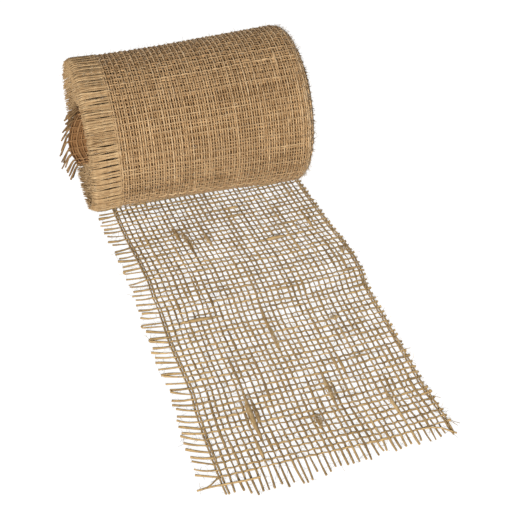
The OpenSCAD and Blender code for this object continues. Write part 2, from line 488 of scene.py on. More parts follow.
class NodeForm:
    """A Geometry Nodes tree with named inputs, which is run on a mesh and baked to a plain one."""

    def __init__(self, name: str, inputs: dict[str, str]) -> None:
        """Makes the empty tree.

        Args:
            name: The tree's name.
            inputs: Socket type of each named input, besides the geometry.
        """
        self.tree = bpy.data.node_groups.new(name, "GeometryNodeTree")
        face = self.tree.interface
        face.new_socket("Geometry", in_out="INPUT", socket_type="NodeSocketGeometry")
        face.new_socket("Geometry", in_out="OUTPUT", socket_type="NodeSocketGeometry")
        self.sockets = {
            label: face.new_socket(label, in_out="INPUT", socket_type=kind).identifier
            for label, kind in inputs.items()
        }
        self.given = self.tree.nodes.new("NodeGroupInput")
        self.result = self.tree.nodes.new("NodeGroupOutput")

    def node(self, kind: str, **values: object) -> bpy.types.Node:
        """Adds a node and sets its properties."""
        made = self.tree.nodes.new(kind)
        for name, value in values.items():
            setattr(made, name, value)
        return made

    def link(self, source: bpy.types.NodeSocket, target: bpy.types.NodeSocket) -> None:
        """Joins two sockets."""
        self.tree.links.new(source, target)

    def read(self, mark: Mark, kind: str = "FLOAT") -> bpy.types.NodeSocket:
        """Reads a point attribute by name."""
        made = self.node("GeometryNodeInputNamedAttribute", data_type=kind)
        made.inputs["Name"].default_value = mark.value
        return made.outputs["Attribute"]

    def kept(
        self, shape: bpy.types.NodeSocket, mark: Mark, value: bpy.types.NodeSocket
    ) -> bpy.types.NodeSocket:
        """Stores a value on each point of a shape, under a mark's name."""
        store = self.node("GeometryNodeStoreNamedAttribute", data_type="FLOAT", domain="POINT")
        store.inputs["Name"].default_value = mark.value
        self.link(shape, store.inputs["Geometry"])
        self.link(value, store.inputs["Value"])
        return store.outputs["Geometry"]

    def swept(
        self,
        curve: bpy.types.NodeSocket,
        sides: bpy.types.NodeSocket,
        radius: float,
        scale: bpy.types.NodeSocket | None,
    ) -> bpy.types.NodeSocket:
        """Sweeps a ring along a curve, and marks each point's place along and around it."""
        spline = self.node("GeometryNodeSplineParameter")
        ring = self.node("GeometryNodeCurvePrimitiveCircle", mode="RADIUS")
        ring.inputs["Radius"].default_value = radius
        self.link(sides, ring.inputs["Resolution"])
        sweep = self.node("GeometryNodeCurveToMesh")
        sweep.inputs["Fill Caps"].default_value = True
        run = self.kept(curve, Mark.ALONG, spline.outputs["Length"])
        self.link(run, sweep.inputs["Curve"])
        profile = self.kept(ring.outputs["Curve"], Mark.AROUND, spline.outputs["Factor"])
        self.link(profile, sweep.inputs["Profile Curve"])
        if scale is not None:
            self.link(scale, sweep.inputs["Scale"])
        smooth = self.node("GeometryNodeSetShadeSmooth")
        self.link(sweep.outputs["Mesh"], smooth.inputs["Geometry"])
        return smooth.outputs["Geometry"]

    def finished(
        self, shape: bpy.types.NodeSocket, label: str, selection: bpy.types.NodeSocket | None = None
    ) -> bpy.types.NodeSocket:
        """Gives a shape, or a selection of it, the material of a named input."""
        made = self.node("GeometryNodeSetMaterial")
        self.link(shape, made.inputs["Geometry"])
        self.link(self.given.outputs[label], made.inputs["Material"])
        if selection is not None:
            self.link(selection, made.inputs["Selection"])
        return made.outputs["Geometry"]

    @staticmethod
    def lay_out(mesh: bpy.types.Mesh) -> None:
        """Gives each strand a strip of its own on the map that colours are baked through."""

        def numbers(mark: Mark) -> np.ndarray:
            """All points' values of a mark."""
            found = np.empty(len(mesh.vertices), np.float32)
            mesh.attributes[mark.value].data.foreach_get("value", found)
            return found

        margin_along, margin_around, cap_spread = 0.03, 0.1, 0.02
        strips_per_column = 4
        corner_vertex = np.empty(len(mesh.loops), np.int32)
        mesh.loops.foreach_get("vertex_index", corner_vertex)
        sizes = np.empty(len(mesh.polygons), np.int32)
        mesh.polygons.foreach_get("loop_total", sizes)
        starts = np.cumsum(sizes) - sizes
        around = numbers(Mark.AROUND)[corner_vertex]
        most = np.repeat(np.maximum.reduceat(around, starts), sizes)
        is_side = np.repeat(sizes == 4, sizes)
        around = np.where(is_side & (most - around > 0.5), around + 1, around)
        along = numbers(Mark.ALONG)[corner_vertex]
        along = along / max(float(along.max()), 1e-6)
        strip = numbers(Mark.STRIP)[corner_vertex].round().astype(int)
        strips = int(strip.max()) + 1
        columns = max(1, math.isqrt(strips // strips_per_column))
        rows = math.ceil(strips / columns)
        cap = np.where(is_side, 0, cap_spread * np.sin(FULL_TURN * around))
        along = margin_along + (1 - 2 * margin_along) * along + cap
        around = margin_around + (1 - 2 * margin_around) * around
        u = (strip % columns + np.clip(along, 0, 1)) / columns
        v = (strip // columns + around) / rows
        uv = mesh.uv_layers.new(name=BAKE_MAP)
        uv.uv.foreach_set("vector", np.column_stack([u, v]).astype(np.float32).ravel())
        mesh.attributes.remove(mesh.attributes[Mark.STRIP.value])

    def bake(self, name: str, source: bpy.types.Object, values: dict[str, object]) -> bpy.types.Object:
        """Runs the tree on an object and keeps the result as a plain mesh.

        Args:
            name: The new piece's name.
            source: The object whose mesh goes in.
            values: The value of each named input.

        Returns:
            The new object, with no modifier on it.
        """
        modifier = source.modifiers.new(self.tree.name, "NODES")
        modifier.node_group = self.tree
        for label, value in values.items():
            modifier[self.sockets[label]] = value
        graph = bpy.context.evaluated_depsgraph_get()
        mesh = bpy.data.meshes.new_from_object(
            source.evaluated_get(graph), preserve_all_data_layers=True, depsgraph=graph
        )
        source.modifiers.remove(modifier)
        mesh.name = name
        made = bpy.data.objects.new(name, mesh)
        bpy.context.scene.collection.objects.link(made)
        return made


class YarnForm(NodeForm):
    """Sweeps a round yarn along every line of a mesh of edges."""

    def __init__(self) -> None:
        """Builds the tree."""
        super().__init__(
            "yarn_sweep",
            {
                "Sides": "NodeSocketInt",
                "Warp Finish": "NodeSocketMaterial",
                "Weft Finish": "NodeSocketMaterial",
            },
        )
        lines = self.node("GeometryNodeMeshToCurve")
        self.link(self.given.outputs["Geometry"], lines.inputs["Mesh"])
        swept = self.swept(lines.outputs["Curve"], self.given.outputs["Sides"], 1, self.read(Mark.GIRTH))
        real = self.node("GeometryNodeRealizeInstances")
        self.link(swept, real.inputs["Geometry"])
        warps = self.finished(real.outputs["Geometry"], "Warp Finish")
        wefts = self.finished(warps, "Weft Finish", self.read(Mark.IS_WEFT, "BOOLEAN"))
        self.link(wefts, self.result.inputs["Geometry"])

    def piece(
        self,
        name: str,
        yarns: list[Yarn],
        sides: int,
        warp: bpy.types.Material,
        weft: bpy.types.Material,
    ) -> bpy.types.Object:
        """Makes one piece of many yarns.

        Args:
            name: The piece's name.
            yarns: Its yarns.
            sides: Flat sides of each yarn.
            warp: The finish of the warps.
            weft: The finish of the wefts.

        Returns:
            The piece, at the origin.
        """
        lines = self._lines(yarns)
        made = self.bake(name, lines, {"Sides": sides, "Warp Finish": warp, "Weft Finish": weft})
        bpy.data.meshes.remove(lines.data)
        self.lay_out(made.data)
        for mark in (Mark.GIRTH, Mark.IS_WEFT):
            made.data.attributes.remove(made.data.attributes[mark.value])
        return made

    @staticmethod
    def _lines(yarns: list[Yarn]) -> bpy.types.Object:
        """Puts all yarns' lines into one mesh of edges, with their marks. No yarn dips below the floor."""
        counts = np.array([len(yarn.points) for yarn in yarns])
        ends = np.cumsum(counts)
        total = int(ends[-1])
        starts_edge = np.ones(total, bool)
        starts_edge[ends - 1] = False
        first = np.arange(total)[starts_edge]
        mesh = bpy.data.meshes.new("yarn_lines")
        mesh.vertices.add(total)
        girth = np.concatenate([yarn.girth for yarn in yarns])
        places = np.concatenate([yarn.points for yarn in yarns]).astype(np.float32)
        places[:, 2] = np.maximum(places[:, 2], girth)
        mesh.vertices.foreach_set("co", places.ravel())
        mesh.edges.add(len(first))
        mesh.edges.foreach_set("vertices", np.column_stack([first, first + 1]).astype(np.int32).ravel())
        values = {
            Mark.GIRTH: girth,
            Mark.TONE: np.concatenate([yarn.tone for yarn in yarns]),
            Mark.STRIP: np.repeat(np.arange(len(yarns)), counts),
        }
        for mark, numbers in values.items():
            stored = mesh.attributes.new(mark.value, "FLOAT", "POINT")
            stored.data.foreach_set("value", numbers.astype(np.float32))
        is_weft = np.repeat([yarn.is_weft for yarn in yarns], counts)
        mesh.attributes.new(Mark.IS_WEFT.value, "BOOLEAN", "POINT").data.foreach_set("value", is_weft)
        mesh.update()
        made = bpy.data.objects.new("yarn_lines", mesh)
        bpy.context.scene.collection.objects.link(made)
        return made


class FuzzForm(NodeForm):
    """Scatters fine loose fibres over the yarns of a piece."""

    # The bend, the radius and the make-up of a fibre of length 1
    CURL = {"Start": (0, 0, -0.05), "Middle": (0.05, 0, 0.6), "End": (0.55, 0.15, 0.85)}
    CURL_STEPS = 4
    SIDES = 3
    RADIUS = 0.024
    # Limits between which each fibre draws its tone and its share of the mean length
    TONES = (0.2, 0.9)
    SIZES = (0.4, 1.5)
    # Greatest lean in radians, and least height over the floor
    TILT = 1.2
    FLOOR_GAP = 0.05 * MM

    def __init__(self) -> None:
        """Builds the tree."""
        super().__init__(
            "loose_fibres",
            {
                "Density": "NodeSocketFloat",
                "Seed": "NodeSocketInt",
                "Length": "NodeSocketFloat",
                "Tilt": "NodeSocketFloat",
                "Finish": "NodeSocketMaterial",
            },
        )
        scatter = self.node("GeometryNodeDistributePointsOnFaces", distribute_method="RANDOM")
        self.link(self.given.outputs["Geometry"], scatter.inputs["Mesh"])
        self.link(self.given.outputs["Density"], scatter.inputs["Density"])
        self.link(self.given.outputs["Seed"], scatter.inputs["Seed"])
        number = self.node("GeometryNodeInputIndex").outputs["Index"]
        spots = self.kept(scatter.outputs["Points"], Mark.STRIP, number)
        spots = self.kept(spots, Mark.TONE, self.chance(*self.TONES, 1))
        curl = self.node("GeometryNodeCurveQuadraticBezier")
        curl.inputs["Resolution"].default_value = self.CURL_STEPS
        for label, point in self.CURL.items():
            curl.inputs[label].default_value = point
        sides = self.node("FunctionNodeInputInt")
        sides.integer = self.SIDES
        fibre = self.swept(curl.outputs["Curve"], sides.outputs["Integer"], self.RADIUS, None)
        tilt = self.node("FunctionNodeRotateRotation", rotation_space="LOCAL")
        self.link(scatter.outputs["Rotation"], tilt.inputs["Rotation"])
        lean = self.node("ShaderNodeCombineXYZ")
        for axis, seed in (("X", 2), ("Y", 3)):
            angle = self.node("ShaderNodeMath", operation="MULTIPLY")
            self.link(self.chance(-1, 1, seed), angle.inputs[0])
            self.link(self.given.outputs["Tilt"], angle.inputs[1])
            self.link(angle.outputs[0], lean.inputs[axis])
        self.link(self.chance(0, FULL_TURN, 4), lean.inputs["Z"])
        self.link(lean.outputs["Vector"], tilt.inputs["Rotate By"])
        size = self.node("ShaderNodeMath", operation="MULTIPLY")
        self.link(self.given.outputs["Length"], size.inputs[0])
        self.link(self.chance(*self.SIZES, 5), size.inputs[1])
        spread = self.node("GeometryNodeInstanceOnPoints")
        self.link(spots, spread.inputs["Points"])
        self.link(fibre, spread.inputs["Instance"])
        self.link(tilt.outputs["Rotation"], spread.inputs["Rotation"])
        self.link(size.outputs[0], spread.inputs["Scale"])
        real = self.node("GeometryNodeRealizeInstances")
        self.link(spread.outputs["Instances"], real.inputs["Geometry"])
        self.link(self.finished(real.outputs["Geometry"], "Finish"), self.result.inputs["Geometry"])

    def chance(self, low: float, high: float, seed: int) -> bpy.types.NodeSocket:
        """A random value for each point, between two limits."""
        made = self.node("FunctionNodeRandomValue", data_type="FLOAT")
        made.inputs[2].default_value = low
        made.inputs[3].default_value = high
        made.inputs["Seed"].default_value = seed
        return made.outputs[1]

    def piece(
        self,
        name: str,
        source: bpy.types.Object,
        count: int,
        length: float,
        seed: int,
        finish: bpy.types.Material,
    ) -> bpy.types.Object:
        """Makes the loose fibres of one piece, none of which reaches below the floor.

        Args:
            name: The new piece's name.
            source: The piece whose yarns carry the fibres.
            count: About how many fibres there are.
            length: Their mean length.
            seed: Where the random numbers start.
            finish: Their finish.

        Returns:
            The fibres, at the origin.
        """
        areas = np.empty(len(source.data.polygons), np.float32)
        source.data.polygons.foreach_get("area", areas)
        values = {
            "Density": count / float(areas.sum()),
            "Seed": seed,
            "Length": length,
            "Tilt": self.TILT,
            "Finish": finish,
        }
        made = self.bake(name, source, values)
        self.lay_out(made.data)
        places = np.empty(3 * len(made.data.vertices), np.float32)
        made.data.vertices.foreach_get("co", places)
        places[2::3] = np.maximum(places[2::3], self.FLOOR_GAP)
        made.data.vertices.foreach_set("co", places)
        made.data.update()
        return made


def woven_sheet(
    name: str, place: Placing, across: np.ndarray, along: np.ndarray, finish: bpy.types.Material
) -> bpy.types.Object:
    """Makes a sheet without gaps, whose weave is in its finish.

    Args:
        name: The piece's name.
        place: Carries ribbon places onto the sheet's surface.
        across: The sheet's grid lines across the ribbon.
        along: Its grid lines along the ribbon.
        finish: Its finish.

    Returns:
        The sheet, at the origin.
    """
    margin = 0.01
    rows, columns = len(along), len(across)
    grid_along, grid_across = (values.ravel() for values in np.meshgrid(along, across, indexing="ij"))
    points = place(grid_across, grid_along, np.zeros(len(grid_along)))
    low = (np.arange(rows - 1)[:, None] * columns + np.arange(columns - 1)).ravel()
    faces = np.column_stack([low, low + columns, low + columns + 1, low + 1])
    mesh = bpy.data.meshes.new(name)
    mesh.from_pydata(points.tolist(), [], faces.tolist())
    mesh.shade_smooth()
    corners = faces.ravel()
    u = margin + (1 - 2 * margin) * (corners % columns) / (columns - 1)
    v = margin + (1 - 2 * margin) * (corners // columns) / (rows - 1)
    uv = mesh.uv_layers.new(name=BAKE_MAP)
    uv.uv.foreach_set("vector", np.column_stack([u, v]).astype(np.float32).ravel())
    mesh.materials.append(finish)
    made = bpy.data.objects.new(name, mesh)
    bpy.context.scene.collection.objects.link(made)
    return made


@dataclass
class RollPlace:
    """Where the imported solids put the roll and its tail, in metres."""

    middle_x: float
    axis_y: float
    axis_z: float
    fold_y: float
    end_fold_y: float

    @classmethod
    def from_frame(cls, frame: dict) -> "RollPlace":
        """Reads the roll's axis and the tail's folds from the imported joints.

        Args:
            frame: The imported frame.

        Returns:
            The places, with the middle halfway between the tail's edge warps.
        """
        joints = {joint["name"]: joint for joint in frame["record"]["behaviour"]["joints"]}
        left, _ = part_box("base_left_selvedge")
        _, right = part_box("base_right_edge_warp")
        _, axis_y, axis_z = joints["roll_turn"]["pos_m"]
        return cls(
            (left[0] + right[0]) / 2,
            axis_y,
            axis_z,
            joints["tail_fold"]["pos_m"][1],
            joints["tail_end_fold"]["pos_m"][1],
        )


@dataclass
class Finishes:
    """All finishes of the object, as materials."""

    warp: bpy.types.Material
    weft: bpy.types.Material
    roll_warp: bpy.types.Material
    roll_weft: bpy.types.Material
    under: bpy.types.Material
    # The deep turns' own jute, darkened with painted shade of the layers deep in the winding
    deep: bpy.types.Material
    # A darker, redder copy of the roll's jute: painted shade and painted bounce light of the hollow
    inner: bpy.types.Material
    # A dark sheet just inside the inner turn: painted shade of the hollow
    hollow_shade: bpy.types.Material
    fringe: bpy.types.Material
    fuzz: bpy.types.Material

    @classmethod
    def build(cls) -> "Finishes":
        """Builds every finish around the shared fibre and weave groups."""
        fibre, woven = fibre_group(FibreLook()), woven_group()
        made = [
            JuteFinish(
                "tail_warp_jute",
                dark=(0.09, 0.052, 0.019),
                brown=(0.218, 0.138, 0.058),
                tan=(0.39, 0.259, 0.119),
                straw=(0.56, 0.409, 0.218),
            ),
            JuteFinish(
                "tail_weft_jute",
                dark=(0.095, 0.056, 0.021),
                brown=(0.24, 0.156, 0.067),
                tan=(0.43, 0.293, 0.137),
                straw=(0.59, 0.436, 0.236),
            ),
            JuteFinish(
                "roll_warp_jute",
                dark=(0.12, 0.065, 0.026),
                brown=(0.28, 0.17, 0.08),
                tan=(0.485, 0.331, 0.182),
                straw=(0.65, 0.488, 0.315),
            ),
            JuteFinish(
                "roll_weft_jute",
                dark=(0.12, 0.066, 0.028),
                brown=(0.28, 0.172, 0.084),
                tan=(0.48, 0.325, 0.175),
                straw=(0.66, 0.49, 0.305),
            ),
            JuteFinish(
                "under_turn_jute",
                dark=(0.13, 0.071, 0.029),
                brown=(0.3, 0.177, 0.081),
                tan=(0.495, 0.32, 0.162),
                straw=(0.63, 0.45, 0.262),
            ),
            # Darker than the roll's own jute: painted shade of the deep turns
            JuteFinish(
                "deep_turn_jute",
                dark=(0.05, 0.022, 0.008),
                brown=(0.13, 0.062, 0.022),
                tan=(0.23, 0.122, 0.05),
                straw=(0.35, 0.21, 0.097),
                woven=woven,
                wefts=790,
            ),
            # A darker, redder copy of the roll's jute: painted shade and painted bounce light of the hollow
            JuteFinish(
                "inner_turn_jute",
                dark=(0.08, 0.036, 0.013),
                brown=(0.21, 0.106, 0.043),
                tan=(0.36, 0.205, 0.094),
                straw=(0.52, 0.33, 0.17),
            ),
            # A dark sheet just inside the inner turn's weave: painted shade of the hollow
            JuteFinish(
                "inner_wall_jute",
                dark=(0.04, 0.016, 0.005),
                brown=(0.11, 0.05, 0.018),
                tan=(0.21, 0.108, 0.045),
                straw=(0.32, 0.188, 0.092),
                woven=woven,
                wefts=24,
            ),
            JuteFinish(
                "fringe_jute",
                dark=(0.13, 0.073, 0.031),
                brown=(0.295, 0.183, 0.089),
                tan=(0.46, 0.315, 0.167),
                straw=(0.6, 0.455, 0.28),
            ),
            JuteFinish(
                "fuzz_jute",
                dark=(0.24, 0.18, 0.12),
                brown=(0.38, 0.29, 0.2),
                tan=(0.54, 0.43, 0.3),
                straw=(0.68, 0.57, 0.42),
            ),
        ]
        return cls(*(finish.material(fibre) for finish in made))


@dataclass(frozen=True)
class Slub:
    """A thick, loosely spun place on one yarn of the tail, in ribbon places."""

    across: float
    start: float
    end: float
    swell: float = 1.0
    # Share of the radius that a swell of 1 adds, and share of the length over which it falls off
    radius_share: float = 0.6
    fall_share: float = 0.55

    def swell_at(self, along: np.ndarray) -> np.ndarray:
        """Extra thickness at places along the yarn."""
        middle, length = (self.start + self.end) / 2, self.end - self.start
        return self.radius_share * self.swell * hump(along, middle, self.fall_share * length)


@dataclass
class Tail:
    """The drawn-out end of the ribbon, flat on the floor, with its fringes, slubs and loose yarns."""

    ribbon: Ribbon
    at: RollPlace
    finishes: Finishes
    yarns: YarnForm
    fuzz: FuzzForm
    first_row: float = -5 * MM
    last_row: float = 262 * MM
    rear_end: float = 2.5 * MM
    split_ahead: float = 14 * MM
    fringe_l: float = 12.2 * MM
    stub_l: float = 1.9 * MM
    left_end_l: float = 15 * MM
    right_end_l: float = 9 * MM
    fold_reach: float = 10 * MM
    loop_narrowing: float = 0.5
    loop_least: float = 0.4 * MM
    loop_points: int = 7
    # Thickness of the yarns as a share of the ribbon's own
    warp_swell: float = 1.15
    weft_swell: float = 1.09
    edge_swell: float = 1.2
    # How the weft ends bend, and the limits of their lengths
    end_bend: float = 0.9 * MM
    end_hook: float = 0.7 * MM
    stub_hook_share: float = 0.8
    hook_shortening: float = 0.06
    end_lengths: tuple[float, float] = (0.88, 1.08)
    # From where a left weft end comes untwisted, up to which share, and how much both ends swell
    untwist_from: float = 0.3
    untwist_most: float = 0.5
    left_tip_swell: float = 0.5
    right_tip_swell: float = 0.4
    # Where the warp ends change from the left's length to the right's, and the limits of their lengths
    warp_end_change: tuple[float, float] = (-20 * MM, 25 * MM)
    warp_end_lengths: tuple[float, float] = (0.78, 1.15)
    warp_end_bend: float = 0.45 * MM
    # The loose strands of each slub
    slub_strands: int = 12
    strand_swell: float = 0.56
    strand_lengths: tuple[float, float] = (0.4, 0.85)
    strand_heights_mm: tuple[float, float] = (-0.3, 0.6)
    strand_spread: float = 0.8 * MM
    strand_wander: float = 0.25 * MM
    strand_bend: float = 3
    strand_bulge: float = 0.7
    strand_points: int = 9
    loose_glow: float = 0.1
    stray_r: float = 0.14 * MM
    right_bow: float = 0.07
    bow_from: float = 25 * MM
    floor_gap: float = 0.02 * MM
    sides: int = 6
    fuzz_count: int = 12000
    fuzz_near_share: float = 0.6
    fuzz_l: float = 2.8 * MM
    seed: int = 11
    # Places along the tail in millimetres, and how far its two edges lie to the right there
    edge_along: tuple[float, ...] = (0, 20, 48, 75, 95, 112, 125, 140, 154, 199, 215, 232, 258, 290)
    left_shift: tuple[float, ...] = (-2.2, -1.6, -0.1, 2.7, 4.0, 3.8, 4.7, 4.5, 4.3, 5.9, 5.0, 4.8, 5.4, 6.2)
    right_shift: tuple[float, ...] = (-2.6, -1.6, 0.8, 3.1, 6.1, 7.2, 6.6, 4.2, 3.6, 4.1, 4.1, 3.5, 6.1, 7.0)
    # How far the tips of the left weft ends lean back towards the roll, in millimetres
    lean_along: tuple[float, ...] = (0, 90, 145, 200, 262)
    lean_back: tuple[float, ...] = (0, 0.5, 2.5, 3.7, 5.3)
    # Rows whose weft turns back at the left instead of ending
    loop_rows: tuple[float, ...] = (83 * MM, 134 * MM, 147 * MM)
    # Thick places on the warps
    slubs: tuple[Slub, ...] = (
        Slub(-36.2 * MM, 205 * MM, 238 * MM, 1.5),
        Slub(12.6 * MM, 205 * MM, 228 * MM, 1.6),
        Slub(43.6 * MM, 228 * MM, 246 * MM, 1.5),
        Slub(-4.5 * MM, 141 * MM, 181 * MM, 1.0),
        Slub(-1.2 * MM, 232 * MM, 246 * MM, 1.2),
        Slub(61.0 * MM, 54 * MM, 68 * MM, 1.1),
        Slub(61.5 * MM, 98 * MM, 107 * MM, 1.3),
        Slub(35.1 * MM, 159 * MM, 164 * MM, 1.4),
        Slub(-32.0 * MM, 43 * MM, 62 * MM, 1.2),
        Slub(-15.0 * MM, 58 * MM, 70 * MM, 1.1),
        Slub(-29.0 * MM, 51 * MM, 77 * MM, 0.9),
    )
    # A thick place on one weft: its row, and where it starts and ends across the ribbon
    weft_slub: Slub = Slub(140 * MM, -57 * MM, -35 * MM, 1.2)

    def place(self, across: np.ndarray, along: np.ndarray, height: np.ndarray) -> np.ndarray:
        """Carries ribbon places onto the floor, in front of the roll."""
        share = np.clip(across / self.ribbon.width + 0.5, 0, 1)
        left = np.interp(along / MM, self.edge_along, self.left_shift) * MM
        right = np.interp(along / MM, self.edge_along, self.right_shift) * MM
        bow = self.right_bow * np.maximum(across - self.bow_from, 0)
        middle = self.ribbon.half_thickness + self.floor_gap
        x = self.at.middle_x + across + left * (1 - share) + right * share
        y = self.at.axis_y - along + bow
        return np.column_stack([x, y, middle + height])

    @property
    def floor_h(self) -> float:
        """Height of a yarn that lies on the floor, from the ribbon's middle surface."""
        return self.ribbon.yarn_radius - self.ribbon.half_thickness

    @property
    def free_steps(self) -> np.ndarray:
        """Places of the points along a free end, as shares of its length."""
        return np.linspace(0.2, 1, 5)

    def _settled(self, height: float) -> np.ndarray:
        """Heights along a free end, which comes down to the floor over its first half."""
        return height + (self.floor_h - height) * np.clip(2 * self.free_steps, 0, 1)

    def _lean(self, along: float) -> float:
        """How far the tips of the left weft ends lean back at a place along the tail."""
        return float(np.interp(along / MM, self.lean_along, self.lean_back)) * MM

    def _end(self, rng: np.random.Generator, start: np.ndarray, length: float, side: Side) -> np.ndarray:
        """A weft's free end past one edge, which bends a little and comes down to the floor."""
        steps = self.free_steps
        share = length / self.fringe_l
        bend = rng.normal(0, self.end_bend) * share
        hook = rng.normal(0, self.end_hook) * (share if side is Side.LEFT else self.stub_hook_share)
        if side is Side.LEFT:
            bend -= self._lean(start[1])
        across = start[0] + side.value * length * (steps - self.hook_shortening * steps**3)
        along = start[1] + bend * steps + hook * steps**3
        return np.column_stack([across, along, self._settled(start[2])])

    def _loop(self, first: np.ndarray, second: np.ndarray, length: float) -> np.ndarray:
        """A weft that turns back past the left edge, from the first row's end to the second's."""
        turn = np.linspace(-math.pi / 2, math.pi / 2, self.loop_points)
        half = self.loop_narrowing * (second[1] - first[1]) / 2
        straight = max(length - abs(half), self.loop_least)
        across = first[0] - (straight + abs(half) * np.cos(turn))
        along = (first[1] + second[1]) / 2 - self._lean(first[1]) + half * np.sin(turn)
        height = np.full(len(turn), self.floor_h)
        arc = np.column_stack([across, along, height])
        return np.vstack([arc, second])

    def _edge_ends(self, rng: np.random.Generator, weave: Weave, side: Side) -> list[np.ndarray]:
        """What each weft does past one edge: a free end, a loop to the next row, or nothing after one."""
        long = self.fringe_l if side is Side.LEFT else self.stub_l
        at_edge = 0 if side is Side.LEFT else -1
        turning = {int(np.abs(weave.rows - row).argmin()) for row in self.loop_rows}
        starts = [weave.weft_line(i)[at_edge] for i in range(len(weave.rows))]
        ends, looped = [], False
        for i, start in enumerate(starts):
            if looped:
                ends.append(np.empty((0, 3)))
                looped = False
                continue
            length = long * rng.uniform(*self.end_lengths)
            looped = side is Side.LEFT and i in turning
            if looped:
                ends.append(self._loop(start, starts[i + 1], length))
            else:
                ends.append(self._end(rng, start, length, side))
        return ends

    def _tip_swell(self, across: np.ndarray) -> np.ndarray:
        """Extra thickness of a weft where its ends come untwisted, past the two edges."""
        left = (self.ribbon.left - across) / self.fringe_l - self.untwist_from
        right = (across - self.ribbon.right) / self.stub_l
        swell = self.left_tip_swell * np.clip(left, 0, self.untwist_most)
        return swell + self.right_tip_swell * np.clip(right, 0, 1)

    def _warp_front(self, rng: np.random.Generator, last: np.ndarray) -> np.ndarray:
        """A warp's free end past the last weft, down on the floor."""
        longest = np.interp(last[0], self.warp_end_change, (self.left_end_l, self.right_end_l))
        reach = longest * rng.uniform(*self.warp_end_lengths)
        steps = self.free_steps
        across = last[0] + rng.normal(0, self.warp_end_bend) * steps**2
        return np.column_stack([across, last[1] + reach * steps, self._settled(last[2])])

    def _yarns(self) -> list[Yarn]:
        """All yarns of the tail, carried onto the floor."""
        rng = np.random.default_rng(self.seed)
        count = int((self.last_row - self.first_row) / self.ribbon.weft_pitch) + 1
        rows = np.linspace(self.first_row, self.last_row, count)
        weave = Weave(self.ribbon, rows, self.place, rng)
        weave.across[:, 0] = weave.across[:, 1] - self.ribbon.left_edge_pitch
        weave.across[:, -1] = weave.across[:, -2] + self.ribbon.right_edge_pitch
        radius = self.ribbon.yarn_radius
        warps = Spinner(
            rng, radius * self.warp_swell, tone=0.53, unevenness=0.2, slub_spacing=80 * MM, slub_swell=0.32
        )
        edges = Spinner(rng, radius * self.edge_swell, tone=0.62, unevenness=0.14, slub_swell=0.1)
        wefts = Spinner(
            rng, radius * self.weft_swell, tone=0.49, unevenness=0.2, slub_spacing=120 * MM, slub_swell=0.4
        )
        places = self.ribbon.warp_places()
        ground = range(self.ribbon.left_edge_warps, len(places) - self.ribbon.right_edge_warps)
        swells = {int(np.abs(places - slub.across).argmin()): slub for slub in self.slubs}
        made = []
        for j in range(len(places)):
            line = weave.warp_line(j)
            rear = line[0] + [0, -self.rear_end, 0]
            line = np.vstack([rear, line, self._warp_front(rng, line[-1])])
            swell = swells[j].swell_at(line[:, 1]) if j in swells else None
            made.append((warps if j in ground else edges).spin(line, swell=swell))
            if j in swells:
                made += self._slub_strands(rng, line, swells[j])
        lefts = self._edge_ends(rng, weave, Side.LEFT)
        rights = self._edge_ends(rng, weave, Side.RIGHT)
        thick = int(np.abs(rows - self.weft_slub.across).argmin())
        for i in range(count):
            line = np.vstack([lefts[i][::-1], weave.weft_line(i), rights[i]])
            swell = self._tip_swell(line[:, 0])
            if i == thick:
                swell += self.weft_slub.swell_at(line[:, 0])
            made.append(wefts.spin(line, is_weft=True, swell=swell))
        made += self._loose(wefts)
        for yarn in made:
            yarn.points = weave.placed(yarn.points)
        return made

    def _slub_strands(self, rng: np.random.Generator, warp: np.ndarray, slub: Slub) -> list[Yarn]:
        """The loose strands that bulge out of a warp along one slub."""
        radius = self.ribbon.yarn_radius * self.strand_swell
        strand = Spinner(rng, radius, tone=0.96, unevenness=0.25, slub_swell=0.3)
        whole = slub.end - slub.start
        made = []
        for _ in range(self.slub_strands):
            length = whole * rng.uniform(*self.strand_lengths)
            first = rng.uniform(slub.start, slub.end - length)
            along = np.linspace(first, first + length, self.strand_points)
            bulge = np.sin(np.linspace(0, math.pi, len(along))) ** self.strand_bulge
            across = np.interp(along, warp[:, 1], warp[:, 0])
            across = across + rng.normal(0, self.strand_spread) * slub.swell * bulge
            across = across + wander(rng, len(along), self.strand_bend, self.strand_wander)
            height = np.interp(along, warp[:, 1], warp[:, 2])
            height = height + rng.uniform(*self.strand_heights_mm) * MM * bulge
            made.append(strand.spin(np.column_stack([across, along, height])))
        return made

    def _loose(self, spinner: Spinner) -> list[Yarn]:
        """The yarns that have come out at the two corners of the cut end, and a few stray fibres."""
        low = self.floor_h
        over = low + 2.0 * self.ribbon.yarn_radius
        lifted = low + 0.6 * MM
        # Places across and along the tail in millimetres, and heights in metres
        yarn_lines = (
            (
                (-45, 268.6, over),
                (-54, 268.6, over),
                (-63, 268.0, over),
                (-69, 267.0, low),
                (-74, 266.9, low),
                (-79, 267.4, low),
            ),
            (
                (-65, 262.0, low),
                (-67, 262.6, low),
                (-69, 264.2, low),
                (-71, 266.0, lifted),
                (-74, 267.4, lifted),
            ),
            ((48, 263.0, over), (54, 263.8, over), (59, 266.0, over), (62, 269.0, over), (66, 271.8, low)),
        )
        stray_lines = (
            ((62, 239.6, low), (66, 241.4, low), (70, 244.7, low)),
            ((63, 257.0, low), (66, 261.5, low), (69, 267.0, low)),
            ((62, 256.0, low), (67, 262.5, low), (71, 266.0, low)),
            ((63, 200.0, low), (66, 201.5, low), (70, 202.0, low)),
        )
        scale = np.array([MM, MM, 1])
        made = []
        for line in yarn_lines:
            made.append(spinner.spin(np.array(line) * scale, is_weft=True, glow=self.loose_glow))
        for line in stray_lines:
            yarn = spinner.spin(np.array(line) * scale, is_weft=True, glow=-self.loose_glow)
            yarn.girth = np.full(len(line), self.stray_r)
            made.append(yarn)
        return made

